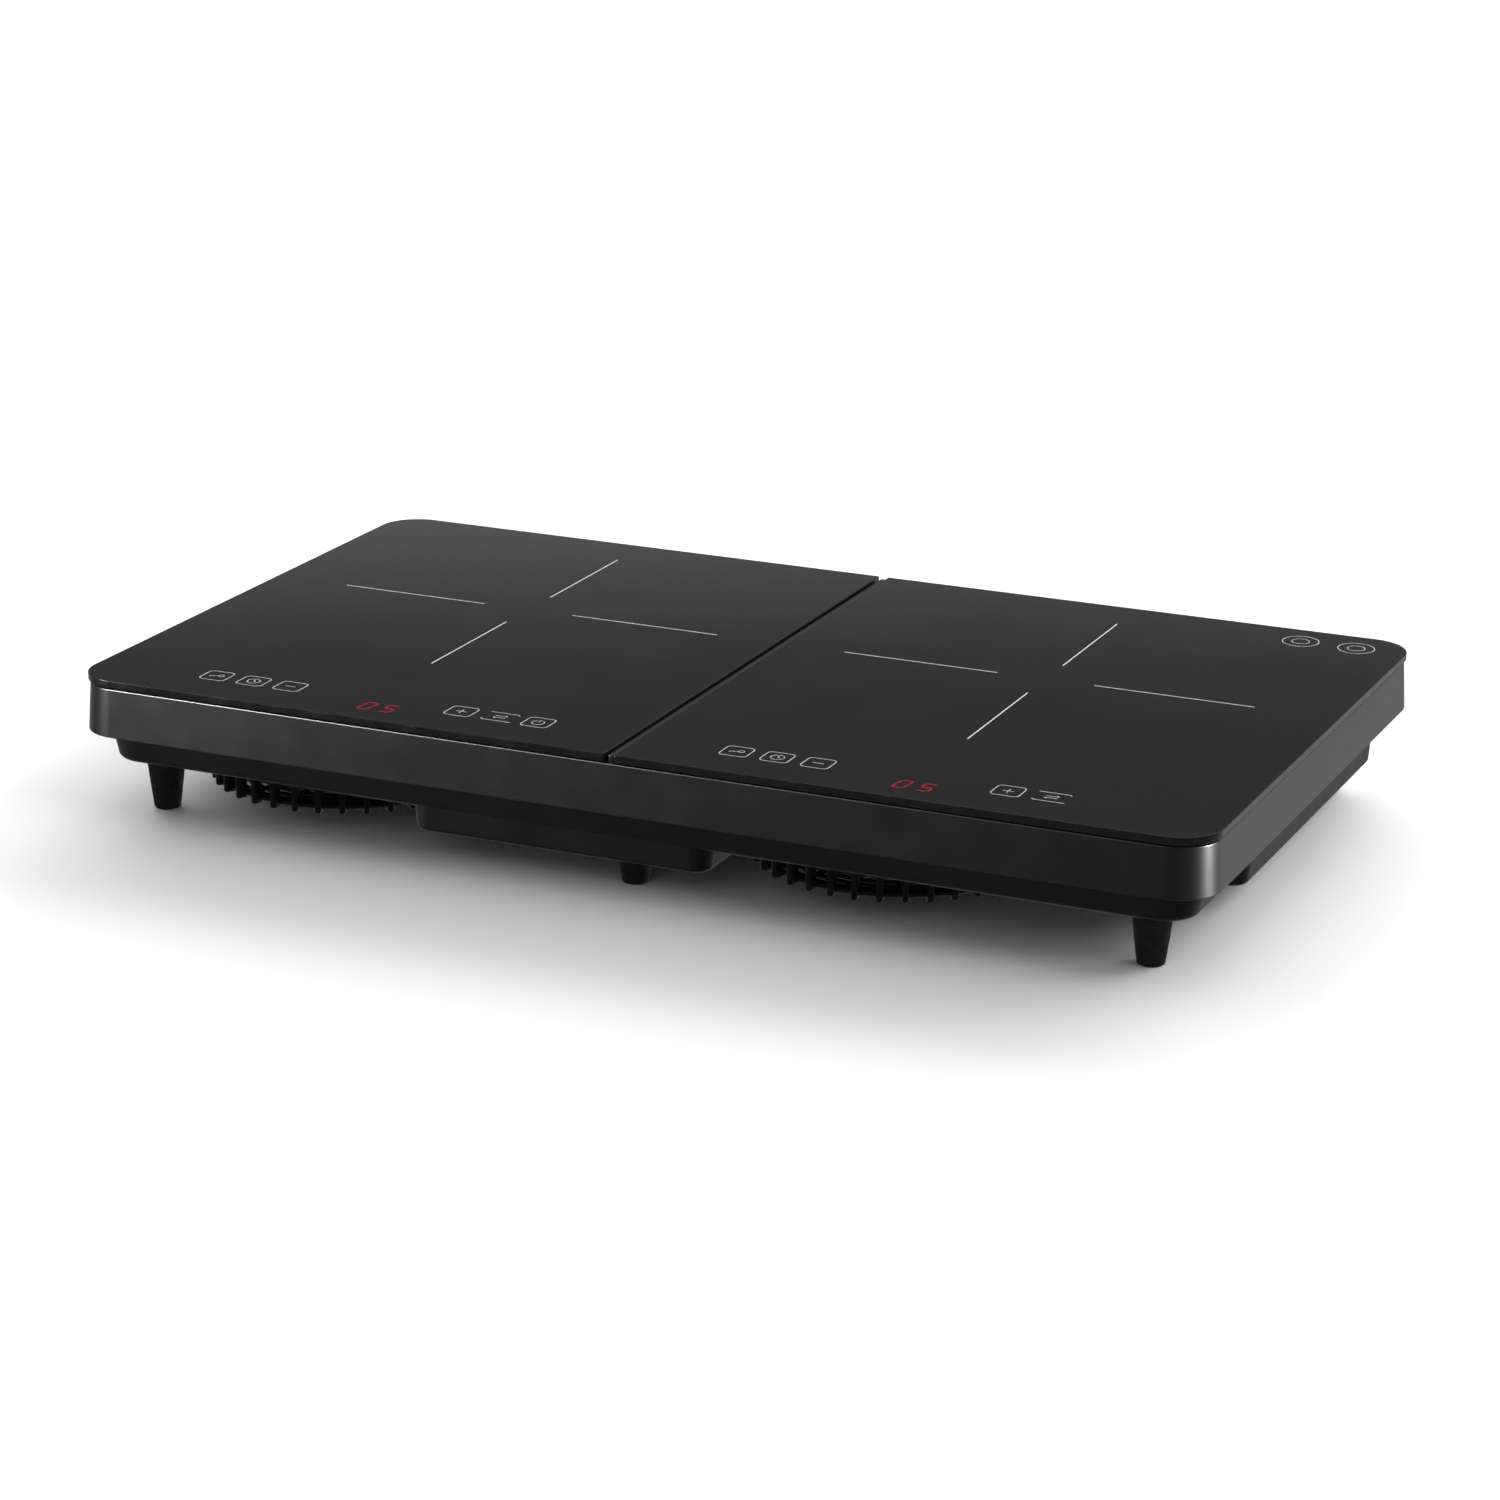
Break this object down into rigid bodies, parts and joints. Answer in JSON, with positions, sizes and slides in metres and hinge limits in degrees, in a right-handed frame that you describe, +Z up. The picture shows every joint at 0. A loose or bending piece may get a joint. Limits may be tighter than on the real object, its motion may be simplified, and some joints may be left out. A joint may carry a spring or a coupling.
{
  "type": "electric induction cooktop",
  "caption": "Portable low induction cooktop with side-by-side black glass panes, touch-key rows, round bulging air-intake grilles underneath and tapered feet.",
  "frame": {"origin": "on the floor under the middle of the object, at the level of the feet", "axes": "+X right along the longer side as seen by the user, +Y away from the user, +Z up; the touch keys are on the -Y side"},
  "size_m": [0.601, 0.351, 0.074],
  "materials": {
    "black_glass": "polished black glass-ceramic",
    "shell": "satin dark grey",
    "base": "fine-grained black",
    "foot": "matt black",
    "silicone": "matt",
    "steel": "zinc plated",
    "winding": "lacquered copper wire",
    "carrier": "glass-filled polyester",
    "ferrite": "ground ferrite",
    "mica": "mica paper",
    "fan": "satin black",
    "board": "solder-mask green",
    "heat_sink": "extruded",
    "package": "moulded epoxy",
    "capacitor": "moulded case",
    "terminal": "white polyamide",
    "display": "red diffuser"
  },
  "bodies": {
    "housing": {"glass_left": "black_glass", "glass_seal_left": "silicone", "glass_right": "black_glass", "glass_seal_right": "silicone", "upper_housing": "shell", "lower_housing": "base", "intake_grille_left": "base", "intake_grille_right": "base", "foot_front_left": "foot", "screw_front_left": "steel", "foot_front_center": "foot", "screw_front_center": "steel", "foot_front_right": "foot", "screw_front_right": "steel", "foot_rear_left": "foot", "screw_rear_left": "steel", "foot_rear_center": "foot", "screw_rear_center": "steel", "foot_rear_right": "foot", "screw_rear_right": "steel", "coil_left": "winding", "coil_right": "winding", "coil_carrier_left": "carrier", "coil_carrier_right": "carrier", "ferrite_star_left": "ferrite", "ferrite_star_right": "ferrite", "insulating_sheet_left": "mica", "insulating_sheet_right": "mica", "pan_sensor_left": "silicone", "pan_sensor_right": "silicone", "fan_frame_left": "fan", "fan_frame_right": "fan", "power_board_left": "board", "power_board_right": "board", "heat_sink_left": "heat_sink", "heat_sink_right": "heat_sink", "igbt_left": "package", "igbt_right": "package", "bridge_rectifier_left": "package", "bridge_rectifier_right": "package", "resonant_capacitor_left": "capacitor", "resonant_capacitor_right": "capacitor", "smoothing_capacitor_left": "capacitor", "smoothing_capacitor_right": "capacitor", "filter_choke_left": "winding", "filter_choke_right": "winding", "touch_board_left": "board", "touch_board_right": "board", "display_module_left": "display", "display_module_right": "display", "cable_gland": "silicone", "terminal_block": "terminal"},
    "rotor_left": {"fan_rotor_left": "fan"},
    "rotor_right": {"fan_rotor_right": "fan"}
  },
  "joints": [
    {"name": "fan_left_spin", "type": "hinge", "parent": "housing", "child": "rotor_left", "pos_m": [-0.1905, -0.084, 0.041], "axis": [0, 0, 1], "continuous": true},
    {"name": "fan_right_spin", "type": "hinge", "parent": "housing", "child": "rotor_right", "pos_m": [0.1135, -0.084, 0.041], "axis": [0, 0, 1], "continuous": true}
  ]
}
